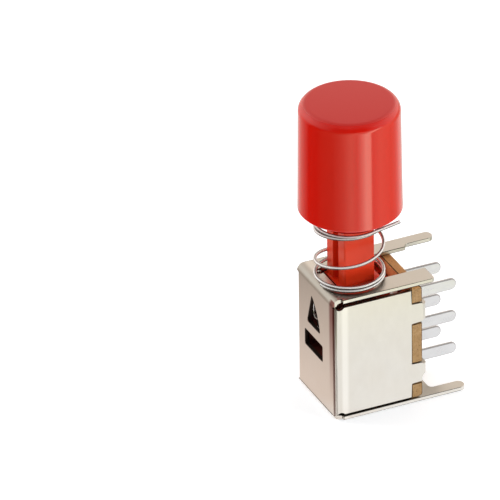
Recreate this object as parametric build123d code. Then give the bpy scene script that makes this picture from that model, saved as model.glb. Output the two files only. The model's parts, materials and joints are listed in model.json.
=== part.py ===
from build123d import *
from math import acos, atan2, cos, degrees, hypot, pi, radians, sin, sqrt
import os

# A latching push switch with a folded sheet-metal frame.
# +Z runs along the plunger towards the button, +X towards the terminals, and
# the origin is on the plunger's axis at the outer face of the frame's rear plate.
# All lengths are in millimetres.

# Folded frame
sheet = 0.4
flap_bend_inner = 0.05
plate_bend_inner = 0.35
body_width = 8.12
body_height = 13.1
body_depth = 8.07
web_to_axis = 3.8
side_shift = 0.24
side_rear_gap = 0.2
side_front_gap = 0.38
near_relief = 0.3
far_slit = 0.06
relief_length = 0.95
notch_radius = 0.5
notch_depth = 0.27
notch_place = 0.65
plate_overhang = 1.33
plate_corner = 0.3
leg_reach = 3.25
leg_width = 1.2
leg_root_radius = 0.45
slot_clearance = 0.12
slot_margin = 1.55
tab_height = 2.1
tab_pitch = 6.55
tab_centre = 6.45
tab_lip = 0.85
tab_gap = 0.1
lip_step = 0.2
lip_long_step = 0.8
window_corner = 0.1
anchor_hole_radius = 0.5

# Windows in the web
slot_window_width = 3.95
slot_window_height = 1.75
slot_window_centre = 6.1
window_centre_shift = 0.22
window_bar = 1.03
window_rounding = 0.2
fan_window_base = 2.9
fan_window_height = 3.35
fan_apex_shift = 0.4
fan_apex_rounding = 0.12
fan_bow = 0.3

# Terminal board
board_thickness = 1.1
board_end_gap = 0.06
board_corner = 0.28
board_edge = 0.45

# Fixed terminals
terminal_pitch = 3.5
terminal_row_spacing = 3.3
terminal_middle_height = 6.95
terminal_height = 1.2
terminal_thickness = 0.3
terminal_reach = 4.65
terminal_inner_reach = 1.35
terminal_shoulder_height = 1.8
terminal_shoulder = 0.35
terminal_point = 0.06

# Slider and its plunger
press_travel = 3.6
latch_travel = 3.0
plunger_depth = 3.1
plunger_width = 4.0
plunger_groove_width = 1.2
plunger_groove_depth = 0.9
plunger_rebate = 0.1
plunger_rebate_length = 1.1
plunger_edge = 0.15
slider_clearance = 0.15
slider_end_clearance = 0.1
slider_bottom_clearance = 0.3
slider_web_recess = 1.5
slider_recess_width = 4.3
slider_recess_ledge = 0.6
slider_neck_height = 1.4
slider_neck_inset = 0.6
slider_neck_step = 1.5
slider_side_pocket = 0.35
slider_pocket_margin = 1.1
slider_pocket_corner = 0.4

# Button cap
cap_top_diameter = 9.6
cap_bottom_diameter = 9.9
cap_length = 11.3
cap_standoff = 7.15
cap_edge = 0.85
cap_rim_edge = 0.2
cap_wall = 1.0
cap_crown = 1.2
cap_boss_diameter = 6.9
cap_boss_drop = 0.9
cap_socket_depth = 5.6
cap_rib = 0.8
cap_rib_rise = 1.5

# Return spring
spring_wire = 0.33
spring_diameter = 6.45
spring_offset_x = -0.35
spring_offset_y = -0.45
spring_seat_gap = 0.02
spring_closed_start = 1.3
spring_closed_end = 0.95
spring_turns = 4.26
spring_ramp = 0.45
spring_end_angle = -77.0
spring_end_rise = 0.07
spring_tail = 3.5
spring_tail_gap = 0.01

# Latch wire and heart cam
latch_wire_diameter = 0.36
latch_bend = 0.36
latch_tip_bend = 0.27
latch_upright = 0.72
latch_knee = 1.26
latch_loop_radius = 0.62
latch_loop_height = 9.05
latch_tip_height = 6.0
latch_web_gap = 0.1
lane_width = 0.5
lane_spacing = 1.5
cam_centre = 0.2
cam_depth = 0.8
cam_tip_gap = 0.12
cam_end_room = 0.12
cam_latch_gap = 0.03
cam_horn_width = 0.15
cam_horn_height = 0.25
cam_corner = 0.2

# Moving contacts
clip_sheet = 0.2
clip_gap = 0.03
clip_finger = 1.1
clip_back_gap = 0.6
clip_mouth_gap = 0.12

# How the solids are drawn
wire_sides = 8
points_per_turn = 8
end_roundness = 0.46
past = 1.0
merge = 0.2

# Derived places
flap_bend_outer = flap_bend_inner + sheet
plate_bend_outer = plate_bend_inner + sheet
web_out = -web_to_axis
web_in = web_out + sheet
board_in = web_out + body_depth
board_out = board_in + board_thickness
lip_in = board_out + tab_gap
near_out = -(body_width / 2 + side_shift)
far_out = body_width / 2 - side_shift
near_in = near_out + sheet
far_in = far_out - sheet
body_mid = (near_out + far_out) / 2
plate_top = body_height
plate_under = body_height - sheet
plate_end = board_out + plate_overhang
leg_tip = plate_end + leg_reach
side_bottom = sheet + side_rear_gap
side_top = plate_under - side_front_gap
slot_start = web_out + slot_margin
slot_half = plunger_width / 2 + slot_clearance
plate_start = web_out + relief_length
tab_centres = [tab_centre - tab_pitch / 2, tab_centre + tab_pitch / 2]
row_places = {
    "near": body_mid - terminal_row_spacing / 2,
    "far": body_mid + terminal_row_spacing / 2,
}
terminal_heights = [terminal_middle_height + step * terminal_pitch for step in (1, 0, -1)]
plunger_front = -plunger_depth / 2
plunger_back = plunger_depth / 2
slider_top = plate_under - slider_end_clearance
slider_shoulder = slider_top - slider_neck_height
slider_bottom = sheet + slider_bottom_clearance + press_travel
slider_web_face = web_in + slider_clearance
slider_board_face = board_in - slider_clearance
slider_near = near_in + slider_clearance
slider_far = far_in - slider_clearance
clip_back = board_in - terminal_inner_reach - clip_back_gap
clip_heights = (terminal_heights[0], terminal_heights[1])
recess_floor = slider_web_face + slider_web_recess
cam_floor = recess_floor + cam_depth
cap_rim = plate_top + cap_standoff
cap_top = cap_rim + cap_length
boss_bottom = cap_rim - cap_boss_drop
plunger_tip = boss_bottom + cap_socket_depth
latch_plane = web_in + latch_web_gap + latch_wire_diameter / 2
anchor_y = slot_half - anchor_hole_radius
anchor_x = slot_start - anchor_hole_radius / 2
lane_y = cam_centre + lane_spacing / 2
latch_drop = plate_under + sheet / 2 - latch_tip_height


def span(x0, x1, y0, y1):
    """A rectangle from corner to corner on its own plane."""
    return Pos((x0 + x1) / 2, (y0 + y1) / 2) * Rectangle(x1 - x0, y1 - y0)


def lift(face, plane, start, thickness):
    """Extrude a sketch drawn on a plane from an offset along its normal."""
    return extrude(plane.offset(start) * face, thickness)


# Sketch planes: top view, side view looking along +Y, end view looking along -X
TOP = Plane.XY
SIDE = Plane(origin=(0, 0, 0), x_dir=(1, 0, 0), z_dir=(0, -1, 0))
END = Plane(origin=(0, 0, 0), x_dir=(0, 1, 0), z_dir=(1, 0, 0))


def rounded_corners(face, axis, last, radius):
    """Round the two corners of a rectangle at one end of an axis."""
    corners = face.vertices().group_by(axis)[-1 if last else 0]
    return fillet(corners, radius)


def rounded_corner(face, corner, radius):
    """Round the corner of a sketch that is nearest to a point."""
    return fillet(face.vertices().sort_by_distance(corner)[0], radius)


def folded_belt():
    """Web, both side flaps and the clinched tabs, as one folded strip."""
    lip_out = lip_in + sheet
    outer = span(web_out, lip_out, near_out, far_out)
    inner = span(web_in, lip_in, near_in, far_in)
    outer = fillet(outer.vertices(), flap_bend_outer)
    inner = fillet(inner.vertices(), flap_bend_inner)
    mouth = span(board_in, lip_out + past, near_in + tab_lip, far_in - tab_lip)
    return lift(outer - inner - mouth, TOP, side_bottom, side_top - side_bottom)


def ear_windows():
    """Openings between the tabs, higher past the board, where the lips are cut back."""
    low, high = tab_centres
    half = tab_height / 2
    end = lip_in + sheet + past
    openings = [
        (side_bottom - past, low - half, 0, lip_long_step),
        (low + half, high - half, lip_step, lip_step),
        (high + half, side_top + past, lip_step, 0),
    ]
    cuts = []
    for z0, z1, below, above in openings:
        face = rounded_corners(span(board_in, end, z0, z1), Axis.X, False, window_corner)
        lips = span(board_out, end, z0 - below, z1 + above)
        if below:
            lips = rounded_corner(lips, (board_out, z0 - below), min(below, sheet))
        if above:
            lips = rounded_corner(lips, (board_out, z1 + above), min(above, sheet))
        cuts.append(lift(face + lips, SIDE, -far_out - past, body_width + 2 * past))
    return cuts


def folded_plates():
    """Web with the front and rear flaps folded from its ends."""
    outer = span(web_out, plate_end, 0, body_height)
    inner = span(web_in, plate_end + past, sheet, plate_under)
    outer = rounded_corners(outer, Axis.X, False, plate_bend_outer)
    inner = rounded_corners(inner, Axis.X, False, plate_bend_inner)
    profile = outer - inner
    web = lift(profile, SIDE, flap_bend_outer - far_out, body_width - 2 * flap_bend_outer)
    # Past the side flaps the folds are wider: relieved on the near side only
    flaps = span(web_out - past, plate_end + past, side_bottom - far_slit, side_top + far_slit)
    return web + lift(profile - flaps, SIDE, -far_out, body_width - near_relief)


def leg_outline(y0, y1):
    """A flat pin with a rounded end, running out past the plate."""
    blank = span(plate_end - leg_root_radius, leg_tip, y0, y1)
    return rounded_corners(blank, Axis.X, True, leg_width * end_roundness)


def root_fillet(y, side):
    """The concave round between a leg and the end edge of its plate."""
    r = leg_root_radius
    centre = y + side * r
    square = span(plate_end, plate_end + r, min(y, centre), max(y, centre))
    return square - Pos(plate_end + r, centre) * Circle(r)


def plate_blank():
    """Outline that the front and rear plates share, without their legs."""
    plate = span(plate_start, plate_end, near_out, far_out)
    return rounded_corners(plate, Axis.X, True, plate_corner)


def front_outline():
    """Front plate: two arms beside the plunger, one of them with a leg."""
    inner = far_out - leg_width
    return plate_blank() + leg_outline(inner, far_out) + root_fillet(inner, -1)


def rear_outline():
    """Rear plate: closed, with its leg on the other side of the body."""
    inner = near_out + leg_width
    return plate_blank() + leg_outline(near_out, inner) + root_fillet(inner, 1)


def web_windows():
    """Slot and fan-shaped openings through which the latch can be seen."""
    mid = window_centre_shift
    half = slot_window_width / 2
    z0 = slot_window_centre - slot_window_height / 2
    z1 = slot_window_centre + slot_window_height / 2
    slot = fillet(span(mid - half, mid + half, z0, z1).vertices(), window_rounding)
    base = z1 + window_bar
    near = (mid - fan_window_base / 2, base)
    far = (mid + fan_window_base / 2, base)
    apex = (mid + fan_apex_shift, base + fan_window_height)
    bow = ((near[0] + apex[0]) / 2 - fan_bow, (near[1] + apex[1]) / 2)
    fan = make_face(Line(near, far) + Line(far, apex) + ThreePointArc(apex, bow, near))
    fan = rounded_corner(fan, apex, fan_apex_rounding)
    fan = rounded_corner(fan, near, window_rounding)
    fan = rounded_corner(fan, far, window_rounding)
    return lift(slot + fan, END, web_out - sheet, 3 * sheet)


def corner_notches():
    """Round notches in the flaps, where their bends stop short of the plates."""
    x = web_out + notch_place
    away = notch_radius - notch_depth
    depth = flap_bend_outer + past
    flap = span(web_out - past, board_in, side_bottom, side_top)
    flaps = lift(flap, SIDE, -far_out - past, body_width + 2 * past)
    notches = []
    for z in (side_bottom - away, side_top + away):
        hole = Pos(x, z) * Circle(notch_radius)
        for start in (-far_out - past, -near_out - flap_bend_outer):
            notches.append(lift(hole, SIDE, start, depth) & flaps)
    return notches


def make_frame():
    """One blank of tinned steel: web, two side flaps, front and rear plates."""
    frame = folded_belt() - ear_windows() - corner_notches()
    frame += folded_plates()
    frame += lift(rear_outline(), TOP, 0, sheet)
    frame += lift(front_outline(), TOP, plate_under, sheet)
    slot = span(slot_start, plate_end + past, -slot_half, slot_half)
    hole = Pos(anchor_x, anchor_y) * Circle(anchor_hole_radius)
    frame -= lift(slot + hole, TOP, plate_under - sheet, 3 * sheet)
    return frame - web_windows()


def board_slot(y, z):
    """The hole a terminal is pressed into."""
    half = terminal_thickness / 2
    tall = terminal_height / 2
    return span(y - half, y + half, z - tall, z + tall)


def make_board():
    """Punched laminate plate whose ears rest on the side flaps' edges."""
    z0 = sheet + board_end_gap
    z1 = plate_under - board_end_gap
    face = span(near_out, far_out, z0, z1)
    half = tab_height / 2 + window_corner
    for z in tab_centres:
        face -= span(near_out - past, near_in + merge, z - half, z + half)
        face -= span(far_in - merge, far_out + past, z - half, z + half)
    face = rounded_corners(face, Axis.Y, False, board_corner)
    face = rounded_corners(face, Axis.Y, True, board_corner)
    for y in row_places.values():
        for z in terminal_heights:
            face -= board_slot(y, z)
    side = rounded_corners(span(board_in, board_out, z0, z1), Axis.X, True, board_edge)
    return lift(face, END, board_in, board_thickness) & lift(side, SIDE, -far_out, body_width)


def make_terminal(y, z):
    """Blanked blade: contact end, shoulder against the board, solder pin."""
    half = terminal_height / 2
    tall = terminal_shoulder_height / 2
    pin = span(board_in - terminal_inner_reach, board_out + terminal_reach, z - half, z + half)
    pin = fillet(pin.vertices(), terminal_height * end_roundness)
    shoulder = span(board_in - terminal_shoulder, board_in, z - tall, z + tall)
    blade = lift(pin + shoulder, SIDE, -y - terminal_thickness / 2, terminal_thickness)
    tips = blade.edges().filter_by(GeomType.CIRCLE).group_by(Axis.X)[-1]
    return chamfer(tips, terminal_point)


def clip_profile(y):
    """U section of a contact clip, open towards the board."""
    front = board_in - terminal_shoulder - clip_mouth_gap
    inner = terminal_thickness / 2 + clip_gap
    outer = inner + clip_sheet
    body = span(clip_back, front, y - outer, y + outer)
    body = rounded_corners(body, Axis.X, False, clip_sheet)
    return body - span(clip_back + clip_sheet, front + past, y - inner, y + inner)


def make_clip(y):
    """Sprung clip whose two pairs of fingers grip neighbouring terminals."""
    high, low = clip_heights
    z0 = low - clip_finger / 2
    z1 = high + clip_finger / 2
    clip = lift(clip_profile(y), TOP, z0, z1 - z0)
    gap = span(clip_back + 2 * clip_sheet, board_in, low + clip_finger / 2, high - clip_finger / 2)
    gap = rounded_corners(gap, Axis.X, False, clip_sheet)
    return clip - lift(gap, SIDE, -y - past, 2 * past)


def latch_swing_angle():
    """Swing of the latch wire from one lane of the cam to the other."""
    offset = anchor_y - lane_y
    reach = hypot(offset, latch_drop)
    across = offset + lane_spacing
    return degrees(atan2(across, sqrt(reach**2 - across**2)) - atan2(offset, latch_drop))


def latch_swing_lift():
    """How far the wire's tip rises as it crosses to the other lane."""
    offset = anchor_y - lane_y
    reach = hypot(offset, latch_drop)
    return latch_drop - sqrt(reach**2 - (offset + lane_spacing) ** 2)


def heart_groove():
    """Loop-shaped groove round a heart island that holds the latch's tip."""
    lane_half = lane_width / 2
    near_lane = cam_centre - lane_spacing / 2
    swing_lift = latch_swing_lift()
    low = latch_tip_height - lane_half
    high = latch_tip_height + press_travel + swing_lift + lane_half + cam_end_room
    loop = span(near_lane - lane_half, lane_y + lane_half, low, high)
    loop = fillet(loop.vertices(), cam_corner)
    side = lane_spacing / 2 - lane_half
    horn = side - cam_horn_width
    held = latch_tip_height + latch_travel + swing_lift / 2
    rest = held - latch_wire_diameter / 2 - cam_latch_gap
    foot = latch_tip_height + swing_lift + lane_half + cam_end_room
    island = Polyline(
        (cam_centre, foot),
        (cam_centre + side, foot + side),
        (cam_centre + side, rest),
        (cam_centre + horn, rest + cam_horn_height),
        (cam_centre, rest),
        (cam_centre - horn, rest + cam_horn_height),
        (cam_centre - side, rest),
        (cam_centre - side, foot + side),
        close=True,
    )
    return loop - make_face(island)


def slide_block():
    """Block that slides in the frame, with a narrower neck under the plunger."""
    block = span(slider_web_face, slider_board_face, slider_near, slider_far)
    block = fillet(block.vertices(), plunger_edge)
    neck = span(
        slider_web_face,
        slider_board_face - slider_neck_step,
        slider_near + slider_neck_inset,
        slider_far - slider_neck_inset,
    )
    neck = fillet(neck.vertices(), plunger_edge)
    block = lift(block, TOP, slider_bottom, slider_shoulder - slider_bottom)
    return block + lift(neck, TOP, slider_shoulder - merge, slider_neck_height + merge)


def side_pockets():
    """Shallow pockets that keep the block's sides from dragging on the frame."""
    x0 = slider_web_face + slider_pocket_margin
    x1 = slider_board_face - slider_pocket_margin
    z0 = slider_bottom + slider_pocket_margin
    z1 = slider_shoulder - slider_pocket_margin
    pocket = fillet(span(x0, x1, z0, z1).vertices(), slider_pocket_corner)
    near = lift(pocket, SIDE, -slider_near - slider_side_pocket, past)
    far = lift(pocket, SIDE, -slider_far - past + slider_side_pocket, past)
    return [near, far]


def terminal_channels():
    """Full-height channels for the terminals, with a seat for each clip."""
    half = terminal_thickness / 2 + clip_sheet + 2 * clip_gap
    high, low = clip_heights
    cuts = []
    for y in row_places.values():
        channel = span(clip_back + 2 * clip_sheet, board_in, y - half, y + half)
        seat = span(clip_back, board_in, y - half, y + half)
        cuts.append(lift(channel, TOP, slider_bottom - past, body_height))
        cuts.append(lift(seat, TOP, low - clip_finger / 2, high - low + clip_finger))
    return cuts


def plunger_stem():
    """Plunger with a groove in its web side and a rebate along its back edges."""
    half = plunger_width / 2
    stem = fillet(span(plunger_front, plunger_back, -half, half).vertices(), plunger_edge)
    groove = plunger_groove_width / 2
    stem -= span(plunger_front - past, plunger_front + plunger_groove_depth, -groove, groove)
    for y in (-half, half - plunger_rebate):
        stem -= span(plunger_back - plunger_rebate_length, plunger_back + past, y, y + plunger_rebate)
    return lift(stem, TOP, slider_top - merge, plunger_tip - slider_top + merge)


def make_slider():
    """Red moulding: slide block with the heart cam, and the plunger above it."""
    slider = slide_block() - side_pockets() - terminal_channels()
    half = slider_recess_width / 2
    recess = span(slider_web_face - past, recess_floor, cam_centre - half, cam_centre + half)
    slider -= lift(recess, TOP, slider_bottom + slider_recess_ledge, body_height)
    slider -= lift(heart_groove(), END, recess_floor - merge, cam_depth + merge)
    return slider + plunger_stem()


def make_cap():
    """Round push-on cap: drafted skirt, rounded crown and a socket boss."""
    r0 = cap_bottom_diameter / 2
    r1 = cap_top_diameter / 2
    ceiling = cap_top - cap_crown
    outer = make_face(Polyline((0, cap_rim), (r0, cap_rim), (r1, cap_top), (0, cap_top), close=True))
    outer = rounded_corner(outer, (r1, cap_top), cap_edge)
    outer = chamfer(outer.vertices().sort_by_distance((r0, cap_rim))[0], cap_rim_edge)
    inner = make_face(
        Polyline(
            (0, cap_rim - past),
            (r0 - cap_wall, cap_rim - past),
            (r0 - cap_wall, cap_rim),
            (r1 - cap_wall, ceiling),
            (0, ceiling),
            close=True,
        )
    )
    cap = revolve(Plane.XZ * (outer - inner), Axis.Z)
    half = cap_rib / 2
    cross = span(-r0, r0, -half, half) + span(-half, half, -r0, r0)
    rib_foot = cap_rim + cap_rib_rise
    cap += lift(cross & Circle(r1 - cap_wall / 2), TOP, rib_foot, ceiling - rib_foot + merge)
    cap += lift(Circle(cap_boss_diameter / 2), TOP, boss_bottom, ceiling - boss_bottom + merge)
    half = plunger_width / 2
    socket = fillet(span(plunger_front, plunger_back, -half, half).vertices(), plunger_edge)
    depth = cap_socket_depth + spring_seat_gap
    return cap - lift(socket, TOP, boss_bottom - past, depth + past)


def spring_heights(count):
    """Heights of the wire's centre: closed turns, open turns, closed turns."""
    low = plate_top + spring_wire / 2 + spring_seat_gap
    high = boss_bottom - spring_wire / 2 - spring_seat_gap
    opened = []
    for i in range(count):
        turn = (i + 0.5) / count * spring_turns
        rise = (turn - spring_closed_start) / spring_ramp
        fall = (spring_turns - spring_closed_end - turn) / spring_ramp
        opened.append(max(0.0, min(1.0, rise, fall)))
    rises = [spring_wire + spring_tail_gap if i < count / 2 else spring_end_rise for i in range(count)]
    closed = [(1 - w) * rise / points_per_turn for w, rise in zip(opened, rises)]
    open_step = (high - low - sum(closed)) / sum(opened)
    heights = [low]
    for shut, w in zip(closed, opened):
        heights.append(heights[-1] + shut + open_step * w)
    return heights


def spring_path():
    """Right-hand coil with closed ends and a straight tail at the top."""
    radius = spring_diameter / 2
    count = round(spring_turns * points_per_turn)
    points = []
    for i, z in enumerate(spring_heights(count)):
        angle = radians(spring_end_angle - 360 * spring_turns * (1 - i / count))
        x = spring_offset_x + radius * cos(angle)
        points.append((x, spring_offset_y + radius * sin(angle), z))
    end = radians(spring_end_angle)
    x, y, z = points[-1]
    for run in (spring_tail / 2, spring_tail):
        points.append((x - run * sin(end), y + run * cos(end), z))
    return Spline(points)


def round_bar(path, diameter):
    """Wire swept along a path, with flats that keep the round wire's section area."""
    corner = diameter / 2 * sqrt(2 * pi / wire_sides / sin(2 * pi / wire_sides))
    section = RegularPolygon(corner, wire_sides)
    return sweep(Plane(origin=path @ 0, z_dir=path % 0) * section, path=path)


def latch_loop(start_x, end_x, centre_y, corner):
    """One turn of wire with short straight ends, the last one aimed at a corner."""
    r = latch_loop_radius
    down = latch_loop_height - corner[2]
    across = corner[1] - centre_y
    turn = 2 * pi + atan2(down, across) - acos(r / hypot(across, down))
    stride = r * turn / points_per_turn
    lead = stride / 3
    points = [(start_x, centre_y + r, latch_loop_height + lead * i) for i in (3, 2, 1)]
    for i in range(points_per_turn + 1):
        t = i / points_per_turn
        x = start_x + (end_x - start_x) * t * t * (3 - 2 * t)
        points.append((x, centre_y + r * cos(turn * t), latch_loop_height - r * sin(turn * t)))
    y, z = points[-1][1:]
    points += [(end_x, y - lead * i * sin(turn), z - lead * i * cos(turn)) for i in (1, 2, 3)]
    return Spline(points)


def make_latch_wire():
    """Bent wire: upright tip in the front plate, one sprung loop, cam tip."""
    lower_plane = latch_plane + latch_wire_diameter
    corner = (lower_plane, lane_y, latch_tip_height)
    turn = latch_loop(latch_plane, lower_plane, anchor_y - latch_loop_radius, corner)
    upper = FilletPolyline(
        (anchor_x, anchor_y, plate_top - spring_seat_gap),
        (anchor_x, anchor_y, plate_under - latch_upright),
        (latch_plane, anchor_y, plate_under - latch_knee),
        turn @ 0,
        radius=latch_bend,
    )
    tip = (cam_floor - cam_tip_gap, lane_y, latch_tip_height)
    lower = FilletPolyline(turn @ 1, corner, tip, radius=latch_tip_bend)
    path = Wire([*upper.edges(), *turn.edges(), *lower.edges()])
    return round_bar(path, latch_wire_diameter)


pieces = {
    "frame": make_frame(),
    "terminal_board": make_board(),
    "slider": make_slider(),
    "button_cap": make_cap(),
    "return_spring": round_bar(spring_path(), spring_wire),
    "latch_wire": make_latch_wire(),
}
for row, row_y in row_places.items():
    pieces[f"contact_clip_{row}"] = make_clip(row_y)
    for number, height in enumerate(terminal_heights, start=1):
        pieces[f"terminal_{row}_{number}"] = make_terminal(row_y, height)

os.makedirs("parts", exist_ok=True)
for name, solid in pieces.items():
    export_step(solid, f"parts/{name}.step")
print("latch swing, degrees:", round(latch_swing_angle(), 2))
print("latch pivot, mm:", round(anchor_x, 3), round(anchor_y, 3), round(plate_under + sheet / 2, 3))
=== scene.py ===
import json
from math import cos, pi, radians, sin

import bmesh
import bpy
from mathutils import Matrix, Vector


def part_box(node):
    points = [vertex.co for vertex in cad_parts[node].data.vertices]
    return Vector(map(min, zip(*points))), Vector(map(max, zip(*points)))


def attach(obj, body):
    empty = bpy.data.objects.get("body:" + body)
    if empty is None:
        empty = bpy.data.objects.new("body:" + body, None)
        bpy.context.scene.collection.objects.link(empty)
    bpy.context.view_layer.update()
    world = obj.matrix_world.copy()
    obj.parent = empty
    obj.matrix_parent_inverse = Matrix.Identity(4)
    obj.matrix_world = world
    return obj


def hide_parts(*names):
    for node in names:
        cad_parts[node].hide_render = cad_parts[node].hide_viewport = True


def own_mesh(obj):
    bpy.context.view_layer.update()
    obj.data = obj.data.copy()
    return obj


# A latching push switch, in the order in which it is put together: terminals and board,
# contacts, slider, latch, folded frame, spring, cap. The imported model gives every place.
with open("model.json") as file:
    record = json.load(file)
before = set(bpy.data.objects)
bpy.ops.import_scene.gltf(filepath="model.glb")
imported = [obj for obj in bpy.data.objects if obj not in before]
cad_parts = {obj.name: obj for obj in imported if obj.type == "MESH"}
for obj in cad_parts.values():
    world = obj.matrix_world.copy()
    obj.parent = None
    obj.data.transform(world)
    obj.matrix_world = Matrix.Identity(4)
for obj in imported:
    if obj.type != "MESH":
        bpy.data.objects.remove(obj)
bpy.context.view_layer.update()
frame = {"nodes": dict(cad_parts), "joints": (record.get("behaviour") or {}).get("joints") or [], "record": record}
MM = 0.001

# --- Terminal board -------------------------------------------------------------------
# A plate of brown phenolic paper laminate, 1.1 mm thick, punched to size. Its cut edges are
# rough and show the paper's layers. The frame's tabs are folded over its outer face.


class Value:
    """One output of a node tree, which can be used in plain arithmetic."""

    def __init__(self, tree, socket):
        self.tree = tree
        self.socket = socket

    def math(self, operation, *parts):
        return self.tree.add("ShaderNodeMath", {"operation": operation}, dict(enumerate(parts)))

    def __add__(self, other):
        return self.math("ADD", self, other)

    def __radd__(self, other):
        return self.math("ADD", other, self)

    def __sub__(self, other):
        return self.math("SUBTRACT", self, other)

    def __rsub__(self, other):
        return self.math("SUBTRACT", other, self)

    def __mul__(self, other):
        return self.math("MULTIPLY", self, other)

    def __rmul__(self, other):
        return self.math("MULTIPLY", other, self)

    def __truediv__(self, other):
        return self.math("DIVIDE", self, other)

    def __rtruediv__(self, other):
        return self.math("DIVIDE", other, self)

    def __pow__(self, other):
        return self.math("POWER", self, other)

    def clamped(self, low=0.0, high=1.0):
        return self.math("MINIMUM", self.math("MAXIMUM", self, low), high)

    def rising(self, start, over):
        """0 up to start, then rising to 1 over the stretch that follows."""
        return ((self - start) / over).clamped()

    def falling(self, end, over):
        """1 at first, then falling to 0 over the stretch that leads to end."""
        return ((end - self) / over).clamped()

    def unsigned(self):
        return self.math("ABSOLUTE", self)


class Tree:
    """A node tree, with one method that adds any node to it."""

    def __init__(self, tree):
        self.tree = tree

    def add(self, kind, settings=None, inputs=None, output=0):
        made = self.tree.nodes.new(kind)
        for name, setting in (settings or {}).items():
            if name == "stops":
                stops = made.color_ramp.elements
                while len(stops) < len(setting):
                    stops.new(1.0)
                for stop, (place, colour) in zip(stops, setting):
                    stop.position = place
                    stop.color = (*colour, 1.0)
            else:
                setattr(made, name, setting)
        for name, given in (inputs or {}).items():
            if isinstance(given, Value):
                self.tree.links.new(given.socket, made.inputs[name])
            else:
                made.inputs[name].default_value = given
        return Value(self, made.outputs[output])


class Finish(Tree):
    """A material with one Principled shader, in which distances are millimetres."""

    def __init__(self, name, constants=None):
        self.material = bpy.data.materials.new(name)
        self.material.use_nodes = True
        super().__init__(self.material.node_tree)
        self.shader = self.tree.nodes["Principled BSDF"]
        for socket, value in (constants or {}).items():
            self.shader.inputs[socket].default_value = value

    def place(self, stretch=(1.0, 1.0, 1.0)):
        """Position on the piece in millimetres, stretched along its axes."""
        spot = self.add("ShaderNodeTexCoord", output="Object")
        scale = tuple(1 / MM / s for s in stretch)
        return self.add("ShaderNodeMapping", inputs={"Vector": spot, "Scale": scale})

    def along(self, axis):
        """One coordinate of the position on the piece, in millimetres."""
        return self.add("ShaderNodeSeparateXYZ", inputs={0: self.place()}, output="xyz".index(axis))

    def noise(self, size, stretch=(1.0, 1.0, 1.0), detail=3.0, roughness=0.5):
        """Cloudy pattern from 0 to 1, whose blots are about so many millimetres wide."""
        inputs = {
            "Vector": self.place(stretch),
            "Scale": 1 / size,
            "Detail": detail,
            "Roughness": roughness,
        }
        return self.add("ShaderNodeTexNoise", inputs=inputs)

    def blend(self, share, first, second):
        """A colour between two others."""
        settings = {"data_type": "RGBA"}
        return self.add("ShaderNodeMix", settings, {0: share, 6: first, 7: second}, 2)

    def paint(self, colour, roughness=None, height=None, depth=0.0, metallic=None):
        """Feed what changes over the surface. The height's depth is in millimetres."""
        links = self.tree.links
        links.new(colour.socket, self.shader.inputs["Base Color"])
        if roughness is not None:
            links.new(roughness.socket, self.shader.inputs["Roughness"])
        if metallic is not None:
            links.new(metallic.socket, self.shader.inputs["Metallic"])
        if height is not None:
            inputs = {"Height": height, "Distance": depth * MM, "Strength": 1.0}
            bump = self.add("ShaderNodeBump", inputs=inputs)
            links.new(bump.socket, self.shader.inputs["Normal"])
        return self.material


def rgb(red, green, blue):
    """A colour as a socket takes it."""
    return (red, green, blue, 1.0)


def skin(node, edge, material, smooth=35.0, edge_material=None, shortest=0.0):
    """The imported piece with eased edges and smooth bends, under its own finish.

    Edges sharper than smooth, in degrees, and longer than shortest, in millimetres, are eased.
    """
    same_place = 1e-4 * MM
    flat_within = radians(0.4)
    packed = frame["nodes"][node]
    piece = bpy.data.objects.new(node + "_skin", packed.data.copy())
    bpy.context.scene.collection.objects.link(piece)
    mesh = bmesh.new()
    mesh.from_mesh(piece.data)
    bmesh.ops.remove_doubles(mesh, verts=mesh.verts, dist=same_place)
    bmesh.ops.dissolve_limit(mesh, angle_limit=flat_within, verts=mesh.verts, edges=mesh.edges)
    eased = mesh.edges.layers.float.new("bevel_weight_edge")
    for line in mesh.edges:
        sharp = line.calc_face_angle(0.0) > radians(smooth)
        line[eased] = float(sharp and line.calc_length() > shortest * MM)
    mesh.to_mesh(piece.data)
    mesh.free()
    piece.data.materials.clear()
    piece.data.materials.append(material)
    for face in piece.data.polygons:
        face.use_smooth = True
        face.material_index = 0
    piece.data.set_sharp_from_angle(angle=radians(smooth))
    if edge:
        easing = piece.modifiers.new("eased edges", "BEVEL")
        easing.width = edge * MM
        easing.segments = 2
        easing.limit_method = "WEIGHT"
        easing.use_clamp_overlap = not shortest
        if edge_material:
            piece.data.materials.append(edge_material)
            easing.material = 1
        flats = piece.modifiers.new("flat faces stay flat", "WEIGHTED_NORMAL")
        flats.mode = "FACE_AREA"
        flats.weight = 100
        flats.keep_sharp = True
    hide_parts(node)
    for body, members in frame["record"]["behaviour"]["bodies"].items():
        if node in members:
            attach(piece, body)
    return piece


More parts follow.
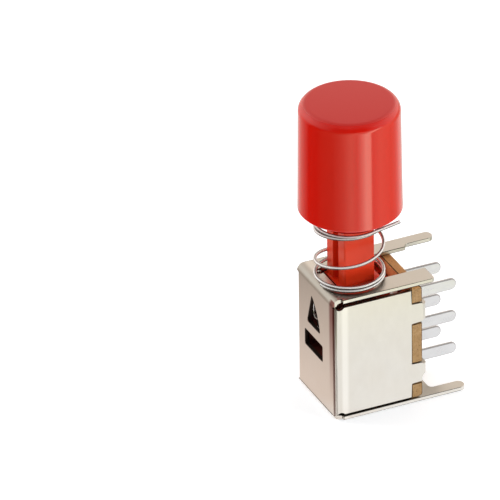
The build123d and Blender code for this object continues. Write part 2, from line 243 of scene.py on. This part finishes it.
def laminate_finish():
    """Layered paper, speckled and stained, with painted light on its shaded inner face and a redder upper end."""
    low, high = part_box("terminal_board")
    finish = Finish("phenolic_laminate", {"Specular IOR Level": 0.4})
    layers = finish.noise(0.09, stretch=(1.0, 9.0, 9.0), detail=2.0)
    fibres = finish.noise(0.35, detail=5.0, roughness=0.7)
    specks = (finish.noise(0.16, detail=2.0) * 8.0 - 4.7).clamped()
    stain = (finish.noise(1.3, detail=3.0) * 3.0 - 1.2).clamped()
    warm = finish.blend(layers, rgb(0.21, 0.113, 0.039), rgb(0.49, 0.300, 0.126))
    mottled = finish.blend((fibres * 2.2 - 0.8).clamped(), warm, rgb(0.51, 0.335, 0.160))
    stained = finish.blend(stain * 0.5, mottled, rgb(0.32, 0.175, 0.055))
    # Painted light: the inner face lies in shade inside the frame and is painted much lighter
    inner = finish.along("x").falling(low.x / MM + 0.12, over=0.05)
    upper = finish.along("z").rising(high.z / MM - 0.3, over=0.2)
    warmer = finish.blend(upper * layers, stained, rgb(0.50, 0.20, 0.045))
    painted_light_on_inner_face = finish.blend(inner, warmer, rgb(0.90, 0.55, 0.22))
    colour = finish.blend(specks * 0.65, painted_light_on_inner_face, rgb(0.09, 0.045, 0.02))
    return finish.paint(colour, 0.5 + fibres * 0.25, layers * 0.6 + fibres, 0.03)


def charred_edge():
    """The corners of the punched laminate are frayed and darker."""
    finish = Finish("laminate_edge", {"Specular IOR Level": 0.2})
    fray = finish.noise(0.25, detail=3.0)
    colour = finish.blend(fray, rgb(0.030, 0.016, 0.008), rgb(0.16, 0.09, 0.04))
    return finish.paint(colour, 0.7 + fray * 0.2, fray, 0.01)


skin("terminal_board", 0.08, laminate_finish(), edge_material=charred_edge())

# --- Terminals ------------------------------------------------------------------------
# Six flat brass blades, blanked and silver plated, pressed into the board in two rows.
# The plating is pale and satin, with shallow press marks.


def silver_finish():
    """Pale, cloudy plating, drawn out along the blades."""
    finish = Finish("silver_plating", {"Metallic": 1.0})
    cloud = finish.noise(0.9, stretch=(2.2, 1.0, 1.0), detail=4.0)
    marks = finish.noise(0.3, stretch=(2.5, 1.0, 1.0), detail=2.0)
    colour = finish.blend(cloud, rgb(0.50, 0.50, 0.495), rgb(0.66, 0.665, 0.665))
    return finish.paint(colour, 0.20 + cloud * 0.18, cloud * 0.7 + marks * 0.3, 0.03)


def rolled_edge(name, dark, light, metallic=1.0):
    """Along a blanked edge the plating is thin and shows as a greyer line."""
    finish = Finish(name, {"Metallic": metallic})
    wear = finish.noise(0.5, detail=3.0)
    return finish.paint(finish.blend(wear, rgb(*dark), rgb(*light)), 0.35 + wear * 0.2, wear, 0.004)


silver = silver_finish()
silver_edge = rolled_edge("silver_edge", (0.34, 0.34, 0.35), (0.52, 0.52, 0.53), metallic=0.3)
for row in ("near", "far"):
    for number in (1, 2, 3):
        skin(f"terminal_{row}_{number}", 0.03, silver, edge_material=silver_edge)

# --- Contact clips --------------------------------------------------------------------
# Two clips folded from thin contact bronze ride in the slider. Each grips two
# neighbouring terminals of its row.


def bronze_finish():
    """Rolled strip with a fine grain."""
    finish = Finish("contact_bronze", {"Metallic": 1.0})
    grain = finish.noise(0.12, stretch=(1.0, 1.0, 8.0))
    colour = finish.blend(grain, rgb(0.62, 0.38, 0.17), rgb(0.80, 0.55, 0.29))
    return finish.paint(colour, 0.25 + grain * 0.15, grain, 0.004)


bronze = bronze_finish()
for row in ("near", "far"):
    skin(f"contact_clip_{row}", 0.02, bronze)

# --- Slider ---------------------------------------------------------------------------
# One red moulding: the block that slides in the frame, with the heart cam on its face,
# and the square plunger that comes out through the front plate.


def slider_finish():
    """Dyed plastic with faint flow marks. Inside the frame, towards the web, it is painted near-black as shade."""
    finish = Finish("slider_red_plastic", {"IOR": 1.5, "Specular IOR Level": 0.32})
    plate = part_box("frame")[1].z / MM
    flow = finish.noise(3.0, stretch=(1.0, 1.0, 3.0), detail=3.0)
    fine = finish.noise(0.12, detail=2.0)
    shade_mottle = finish.noise(0.8, detail=4.0, roughness=0.6)
    # Painted shade: inside the frame and towards the web the red is darkened to near-black
    inside = finish.along("z").falling(plate - 0.5, over=0.3)
    towards_web = finish.along("x").falling(2.2, over=1.5)
    dyed_red = finish.blend(flow, rgb(0.68, 0.036, 0.008), rgb(0.76, 0.046, 0.011))
    painted_shade_inside = finish.blend(shade_mottle, rgb(0.045, 0.012, 0.009), rgb(0.13, 0.026, 0.018))
    colour = finish.blend(inside * towards_web, dyed_red, painted_shade_inside)
    return finish.paint(colour, 0.22 + fine * 0.06 + inside * 0.2, fine * 0.3 + flow, 0.006)


skin("slider", 0.04, slider_finish())

# --- Latch wire -----------------------------------------------------------------------
# Drawn steel wire with one sprung loop. Its upper end stands in the front plate and its
# lower end runs in the slider's heart cam.


def latch_finish():
    """Bright drawn wire."""
    finish = Finish("latch_steel", {"Metallic": 1.0})
    marks = finish.noise(0.10, detail=3.0)
    colour = finish.blend(marks, rgb(0.62, 0.60, 0.58), rgb(0.85, 0.84, 0.82))
    return finish.paint(colour, 0.20 + marks * 0.10, marks, 0.003)


skin("latch_wire", 0.0, latch_finish(), smooth=60.0)

# --- Frame ----------------------------------------------------------------------------
# One blank of tin-plated sheet steel, 0.4 mm thick: web, side flaps with four tabs folded
# over the board, front plate with the plunger's slot, rear plate. Two legs are for solder.


def tin_finish():
    """Dull tin with bare window edges, a painted highlight beside the bends and a painted dark red reflection on
    the web by the near bend.
    """
    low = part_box("frame")[0] / MM
    finish = Finish("tin_plate", {"Metallic": 1.0})
    from_web = finish.along("x") - low.x
    from_flap = finish.along("y") - low.y
    mottle = finish.noise(1.1, stretch=(1.0, 1.0, 1.6), detail=4.0, roughness=0.6)
    rolling = finish.noise(0.10, stretch=(1.0, 1.0, 14.0), detail=2.0)
    stain = (finish.noise(2.6, detail=2.0) * 3.0 - 1.1).clamped()
    plate = finish.blend(mottle, rgb(0.58, 0.56, 0.505), rgb(0.67, 0.65, 0.595))
    colour = finish.blend(stain * 0.25, plate, rgb(0.60, 0.56, 0.48))
    # The cut edges of the web's windows are bare and dull
    in_sheet = from_web.rising(0.05, over=0.04) * from_web.falling(0.48, over=0.04)
    by_windows = finish.along("y").unsigned().falling(2.6, over=0.2)
    above = finish.along("z").rising(4.0, over=0.3)
    below = finish.along("z").falling(12.0, over=0.3)
    bare = in_sheet * by_windows * above * below
    colour = finish.blend(bare, colour, rgb(0.10, 0.075, 0.065))
    # Painted highlight: each side that leaves the web has a bright strip beside its bend, standing in for the
    # bend's reflection
    painted_bend_highlight = from_web.rising(0.7, over=0.25) * from_web.falling(1.6, over=0.3)
    colour = finish.blend(painted_bend_highlight * 0.7, colour, rgb(0.78, 0.76, 0.70))
    # Painted dark red reflection on the web's outer face along the near flap, stronger towards the top
    painted_dark_reflection = from_flap.rising(0.08, over=0.1) * from_flap.falling(1.20, over=0.35)
    outside = from_web.falling(0.25, over=0.05)
    painted_dark_reflection = painted_dark_reflection * outside * finish.along("z").rising(2.0, over=9.0)
    colour = finish.blend(painted_dark_reflection, colour, rgb(0.24, 0.105, 0.09))
    rough = 0.26 + mottle * 0.10 + rolling * 0.05 + bare * 0.35
    return finish.paint(colour, rough, mottle * 0.8 + rolling * 0.2, 0.012)


tin_edge = rolled_edge("tin_edge", (0.035, 0.032, 0.028), (0.13, 0.12, 0.105))
skin("frame", 0.05, tin_finish(), edge_material=tin_edge, shortest=0.12)

# --- Return spring --------------------------------------------------------------------
# Bright spring wire wound right-handed round the plunger: closed turns on the front
# plate, two open turns, one closed turn and a straight tail under the cap.


class Shape(Tree):
    """A Geometry Nodes tree with named inputs, which makes a mesh."""

    def __init__(self, name):
        super().__init__(bpy.data.node_groups.new(name, "GeometryNodeTree"))
        kind = "NodeSocketGeometry"
        self.tree.interface.new_socket("Geometry", in_out="OUTPUT", socket_type=kind)
        self.given = self.tree.nodes.new("NodeGroupInput")
        self.sizes = {}

    def size(self, name, value, kind="NodeSocketFloat"):
        """A named input and the value that this piece has for it."""
        socket = self.tree.interface.new_socket(name, in_out="INPUT", socket_type=kind)
        self.sizes[socket.identifier] = value
        return Value(self, self.given.outputs[name])

    def bake(self, name, mesh, material):
        """End the tree, run it once and return its mesh as a plain object."""
        whole = self.add("GeometryNodeRealizeInstances", inputs={0: mesh})
        painted = self.add("GeometryNodeSetMaterial", inputs={0: whole, "Material": material})
        end = self.tree.nodes.new("NodeGroupOutput")
        self.tree.links.new(painted.socket, end.inputs[0])
        holder = bpy.data.objects.new(name, bpy.data.meshes.new(name))
        bpy.context.scene.collection.objects.link(holder)
        maker = holder.modifiers.new("maker", "NODES")
        maker.node_group = self.tree
        for identifier, value in self.sizes.items():
            maker[identifier] = value
        ready = holder.evaluated_get(bpy.context.evaluated_depsgraph_get())
        plain = bpy.data.meshes.new_from_object(ready)
        holder.modifiers.remove(maker)
        holder.data = plain
        return holder


def spring_finish():
    """Drawn wire, coloured by the way its surface faces: a painted highlight along it between painted dark lines
    of shade.
    """
    finish = Finish("spring_steel", {"Metallic": 1.0})
    rise = finish.add("ShaderNodeAttribute", {"attribute_name": "rise"}, output="Fac")
    marks = finish.noise(0.10, detail=3.0)
    # Painted highlight where the wire faces sideways and up, fading to painted shade where it faces straight up or
    # down; the highlight is also less metallic
    off_highlight = (rise - 0.48).unsigned()
    painted_highlight_band = off_highlight.falling(0.52, over=0.22)
    line = finish.blend(marks, rgb(0.13, 0.12, 0.115), rgb(0.24, 0.23, 0.22))
    bright = finish.blend(marks, rgb(0.82, 0.81, 0.80), rgb(0.93, 0.92, 0.91))
    colour = finish.blend(painted_highlight_band, line, bright)
    rough = 0.10 + marks * 0.08 + painted_highlight_band * 0.15
    return finish.paint(colour, rough, marks, 0.003, metallic=1.0 - painted_highlight_band * 0.7)


def spring_mesh():
    """The wire follows a coil whose pitch opens and closes again, then runs straight."""
    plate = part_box("frame")[1].z
    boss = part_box("return_spring")[1].z
    thickness = 0.33 * MM
    seat_gap = 0.02 * MM
    turn_gap = 0.01 * MM
    shape = Shape("coil spring")
    radius = shape.size("Coil radius", 3.225 * MM)
    aside = shape.size("Offset of the coil in X", -0.35 * MM)
    towards = shape.size("Offset of the coil in Y", -0.45 * MM)
    wire = shape.size("Wire diameter", thickness)
    turns = shape.size("Turns", 4.26)
    closed_start = shape.size("Closed turns on the plate", 1.3)
    closed_end = shape.size("Closed turns under the cap", 0.95)
    ramp = shape.size("Turns over which the pitch changes", 0.45)
    start = shape.size("Lowest height of the wire's centre", plate + thickness / 2 + seat_gap)
    top = shape.size("Highest height of the wire's centre", boss - thickness / 2)
    tail = shape.size("Length of the straight tail", 3.5 * MM)
    end_angle = shape.size("Angle of the tail's root", radians(-77.0))
    per_turn = shape.size("Points in a turn", 64, "NodeSocketInt")

    count = (turns * per_turn).math("ROUND", turns * per_turn)
    tail_points = 12
    index = shape.add("GeometryNodeInputIndex")
    step = index.math("MINIMUM", index, count) / count
    turn = step * turns
    opening = (turn - closed_start) / ramp
    closing = (turns - closed_end - turn) / ramp
    open_share = opening.math("MINIMUM", opening, closing).clamped()
    on_coil = index.math("LESS_THAN", index, count)
    lower_half = step.math("LESS_THAN", step, 0.5)
    # The end turn under the cap rises a fifth as much as those on the plate
    closed_step = (wire + turn_gap) / per_turn * (0.2 + 0.8 * lower_half)
    shut = closed_step * (1 - open_share) * on_coil
    freed = open_share * on_coil
    shut_so_far = shape.add("GeometryNodeAccumulateField", inputs={"Value": shut}, output="Trailing")
    shut_in_all = shape.add("GeometryNodeAccumulateField", inputs={"Value": shut}, output="Total")
    freed_so_far = shape.add("GeometryNodeAccumulateField", inputs={"Value": freed}, output="Trailing")
    freed_in_all = shape.add("GeometryNodeAccumulateField", inputs={"Value": freed}, output="Total")
    open_step = (top - start - shut_in_all) / freed_in_all
    height = start + shut_so_far + open_step * freed_so_far

    angle = end_angle - (1 - step) * turns * (2 * pi)
    along = (index - count).clamped(0.0, tail_points) / tail_points * tail
    east = angle.math("COSINE", angle)
    north = angle.math("SINE", angle)
    spot = shape.add(
        "ShaderNodeCombineXYZ",
        inputs={
            0: aside + radius * east - along * north,
            1: towards + radius * north + along * east,
            2: height,
        },
    )
    line = shape.add(
        "GeometryNodeMeshLine",
        inputs={"Count": count + (tail_points + 1), "Offset": (0.0, 0.0, MM)},
    )
    bent = shape.add("GeometryNodeSetPosition", inputs={0: line, "Position": spot})
    path = shape.add("GeometryNodeMeshToCurve", inputs={0: bent})
    section = shape.add("GeometryNodeCurvePrimitiveCircle", inputs={"Resolution": 20, "Radius": wire / 2})
    rod = shape.add("GeometryNodeCurveToMesh", inputs={0: path, 1: section, "Fill Caps": True})
    # The upward part of the surface's facing is stored as rise; the spring's finish paints highlight and shade
    # from it
    normal = shape.add("GeometryNodeInputNormal")
    upward = shape.add("ShaderNodeSeparateXYZ", inputs={0: normal}, output=2)
    noted = {0: rod, "Name": "rise", "Value": upward}
    with_rise = shape.add("GeometryNodeStoreNamedAttribute", inputs=noted)
    return shape.bake("return_spring_skin", with_rise, spring_finish())


spring = spring_mesh()
for face in spring.data.polygons:
    face.use_smooth = True
spring.data.set_sharp_from_angle(angle=radians(60))
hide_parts("return_spring")
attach(spring, "switch_body")
spring_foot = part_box("frame")[1].z
free_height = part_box("return_spring")[1].z - spring_foot
press = next(joint for joint in frame["joints"] if joint["name"] == "button_press")
travel = press["range_m"][1]
(free_height - travel) / free_height
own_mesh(spring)

# --- Button cap -----------------------------------------------------------------------
# A glossy red moulding pushed on the plunger. Its skirt has a slight draft, and its flat
# top is faintly domed and finely textured inside a rounded, polished edge.


def cap_finish():
    """Polished sides and a fine matt texture on the flat of the top."""
    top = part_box("button_cap")[1].z / MM
    finish = Finish("cap_red_plastic", {"IOR": 1.5, "Specular IOR Level": 1.0})
    crown = finish.along("z").rising(top - 0.16, over=0.15)
    east, north = finish.along("x"), finish.along("y")
    dome = (east * east + north * north) * -1.5
    flow = finish.noise(4.0, stretch=(1.0, 1.0, 4.0), detail=2.0)
    grain = finish.noise(0.06, detail=2.0)
    side = finish.blend(flow, rgb(0.57, 0.0050, 0.0010), rgb(0.63, 0.0060, 0.0013))
    colour = finish.blend(crown, side, rgb(0.50, 0.003, 0.001))
    rough = 0.08 + crown * 0.47 + grain * 0.02
    return finish.paint(colour, rough, grain * crown * 0.8 + flow * 0.2 + dome, 0.006)


def true_round(piece):
    """Shade the skirt and the rounded edge of the top as true surfaces of revolution."""
    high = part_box("button_cap")[1]
    edge = 0.85 * MM
    skirt = 0.5 * MM
    draft = 0.013
    underside = -0.3
    normals = []
    for face in piece.data.polygons:
        for corner in face.loop_indices:
            shade = piece.data.corner_normals[corner].vector.copy()
            spot = piece.data.vertices[piece.data.loops[corner].vertex_index].co
            outside = spot.z > high.z - edge or spot.xy.length > high.x - skirt
            if outside and face.normal.z > underside:
                rise = min(1.0, max(draft, (spot.z - high.z + edge) / edge))
                side = spot.xy.normalized() * (1 - rise * rise) ** 0.5
                shade = Vector((side.x, side.y, rise))
            normals.append(shade)
    piece.data.normals_split_custom_set(normals)


true_round(skin("button_cap", 0.0, cap_finish(), smooth=30.0))

# --- Studio ---------------------------------------------------------------------------
# A pale floor in a tent of light, and four soft lamps that light matt surfaces only. The tent
# has dark and bright parts, which the cap and the plates reflect.


def build_floor():
    """A pale, faintly lit floor that nothing mirrors."""
    mesh = bpy.data.meshes.new("floor")
    reach = 0.6
    corners = [(-reach, -reach, 0), (reach, -reach, 0), (reach, reach, 0), (-reach, reach, 0)]
    mesh.from_pydata(corners, [], [(0, 1, 2, 3)])
    floor = bpy.data.objects.new("floor", mesh)
    bpy.context.scene.collection.objects.link(floor)
    glow = {"Emission Color": rgb(0.95, 0.97, 1.0), "Emission Strength": 0.34}
    finish = Finish("pale_floor", {"Roughness": 0.9, "Specular IOR Level": 0.0, **glow})
    cloud = finish.noise(60.0)
    paint = finish.blend(cloud, rgb(0.90, 0.92, 0.94), rgb(0.92, 0.94, 0.96))
    mesh.materials.append(finish.paint(paint))
    floor.visible_glossy = False


def build_card():
    """A round card under the switch: white in front, warmer behind. Only reflections show it."""
    mesh = bmesh.new()
    bmesh.ops.create_circle(mesh, cap_ends=True, radius=27 * MM, segments=64)
    disc = bpy.data.meshes.new("reflector card")
    mesh.to_mesh(disc)
    mesh.free()
    card = bpy.data.objects.new("reflector card", disc)
    bpy.context.scene.collection.objects.link(card)
    finish = Finish("reflector_card", {"Base Color": rgb(0, 0, 0), "Roughness": 1.0})
    east, north = finish.along("x"), finish.along("y")
    ahead = (east * 0.75 - north).rising(-4.0, over=10.0)
    away = ((east * east + north * north) ** 0.5).rising(8.0, over=18.0)
    behind = finish.blend(away, rgb(1.06, 0.89, 0.82), rgb(0.68, 0.56, 0.50))
    pale = finish.blend(ahead, behind, rgb(1.33, 1.32, 1.34))
    # A dark wedge leads away from the web's near corner
    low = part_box("frame")[0] / MM
    wedge = (low.x - east) * 0.5 - (north - low.y).unsigned()
    light = finish.blend((wedge + 0.5).clamped(), pale, rgb(0.12, 0.03, 0.02))
    finish.tree.links.new(light.socket, finish.shader.inputs["Emission Color"])
    finish.shader.inputs["Emission Strength"].default_value = 1.0
    disc.materials.append(finish.material)
    card.visible_camera = False
    card.visible_diffuse = False
    card.visible_shadow = False


def build_tent():
    """Walls of light round the switch: 0 degrees is towards -Y and 90 is towards +X."""
    world = bpy.data.worlds.new("light tent")
    world.use_nodes = True
    bpy.context.scene.world = world
    tent = Tree(world.node_tree)
    direction = tent.add("ShaderNodeTexCoord", output="Generated")
    east = tent.add("ShaderNodeSeparateXYZ", inputs={0: direction}, output=0)
    north = tent.add("ShaderNodeSeparateXYZ", inputs={0: direction}, output=1)
    height = tent.add("ShaderNodeSeparateXYZ", inputs={0: direction}, output=2)
    turn = east.math("ARCTAN2", east, 0 - north) / (2 * pi) + 0.5
    leaning = turn - (height + 0.51).clamped(0.0, 0.5) * 0.16
    turn_of = {
        "below": [
            (-180, (0.92, 0.83, 0.78)),
            (-162, (0.62, 0.52, 0.45)),
            (-145, (0.34, 0.28, 0.24)),
            (-130, (0.04, 0.03, 0.02)),
            (-104, (0.03, 0.02, 0.01)),
            (-94, (0.10, 0.08, 0.04)),
            (-66, (0.14, 0.13, 0.07)),
            (-44, (0.35, 0.34, 0.23)),
            (-24, (0.76, 0.75, 0.54)),
            (-11, (0.60, 0.60, 0.45)),
            (-2, (1.05, 1.05, 0.85)),
            (10, (2.20, 2.20, 1.75)),
            (21, (2.00, 2.00, 1.55)),
            (23, (0.52, 0.52, 0.40)),
            (45, (0.70, 0.70, 0.50)),
            (78, (0.40, 0.40, 0.28)),
            (95, (0.45, 0.45, 0.36)),
            (115, (0.90, 0.88, 0.80)),
            (180, (0.92, 0.83, 0.78)),
        ],
        "above": [
            (-180, (1.05, 0.93, 0.84)),
            (-140, (0.95, 0.90, 0.85)),
            (-100, (0.45, 0.43, 0.40)),
            (-60, (0.07, 0.06, 0.05)),
            (10, (0.07, 0.06, 0.05)),
            (50, (0.50, 0.48, 0.45)),
            (110, (1.20, 1.08, 0.98)),
            (160, (1.16, 1.02, 0.91)),
            (180, (1.05, 0.93, 0.84)),
        ],
    }
    rings = {}
    for part, walls in turn_of.items():
        stops = [((azimuth + 180) / 360, colour) for azimuth, colour in walls]
        places = leaning if part == "below" else turn
        rings[part] = tent.add("ShaderNodeValToRGB", {"stops": stops}, {0: places})
    settings = {"data_type": "RGBA"}
    risen = height.rising(-0.08, over=0.10)
    wall = tent.add("ShaderNodeMix", settings, {0: risen, 6: rings["below"], 7: rings["above"]}, 2)
    share = height.rising(0.50, over=0.50)
    roof = tent.add("ShaderNodeMix", settings, {0: share, 6: wall, 7: rgb(0.22, 0.20, 0.19)}, 2)
    light = world.node_tree.nodes["Background"]
    world.node_tree.links.new(roof.socket, light.inputs["Color"])
    light.inputs["Strength"].default_value = 1.0


def add_softbox(name, place, size, power, target):
    """A square lamp aimed at a point. Glossy surfaces don't mirror it."""
    lamp = bpy.data.lights.new(name, "AREA")
    lamp.energy = power
    lamp.size = size
    softbox = bpy.data.objects.new(name, lamp)
    bpy.context.scene.collection.objects.link(softbox)
    softbox.location = place
    softbox.rotation_euler = (Vector(target) - Vector(place)).to_track_quat("-Z", "Y").to_euler()
    softbox.visible_glossy = False


def aim_camera():
    """A long lens, so that parallel edges stay nearly parallel."""
    azimuth, elevation, roll = radians(-25.12), radians(30.54), radians(-0.49)
    distance = 0.8464
    aside, lift = 0.00944, 0.00084
    back = Vector((cos(elevation) * sin(azimuth), -cos(elevation) * cos(azimuth), sin(elevation)))
    right = Vector((cos(azimuth), sin(azimuth), 0))
    up = back.cross(right)
    across = right * cos(roll) + up * sin(roll)
    upward = up * cos(roll) - right * sin(roll)
    middle = Vector((0, 0, 0.01462))
    eye = middle + back * distance
    # The switch stands right of the middle of the picture
    look = middle - across * aside + upward * lift
    away = (eye - look).normalized()
    side = upward.cross(away).normalized()
    lens = bpy.data.cameras.new("camera")
    lens.lens = 649.4
    lens.sensor_width = 36.0
    lens.clip_end = 10.0
    camera = bpy.data.objects.new("camera", lens)
    bpy.context.scene.collection.objects.link(camera)
    turn = Matrix((side, away.cross(side), away)).transposed()
    camera.matrix_world = Matrix.Translation(eye) @ turn.to_4x4()
    bpy.context.scene.camera = camera


build_floor()
build_card()
build_tent()
add_softbox("key softbox", (0.34, -0.30, 0.22), 0.25, 1.28, (0, 0, 0.015))
add_softbox("fill softbox", (-0.42, -0.10, 0.25), 0.30, 0.20, (0, 0, 0.013))
add_softbox("top softbox", (-0.14, -0.28, 0.48), 0.25, 0.72, (0, 0, 0.025))
add_softbox("back softbox", (-0.30, 0.33, 0.33), 0.30, 1.15, (0.003, 0, 0.012))
aim_camera()
bpy.context.scene.view_settings.view_transform = "Standard"
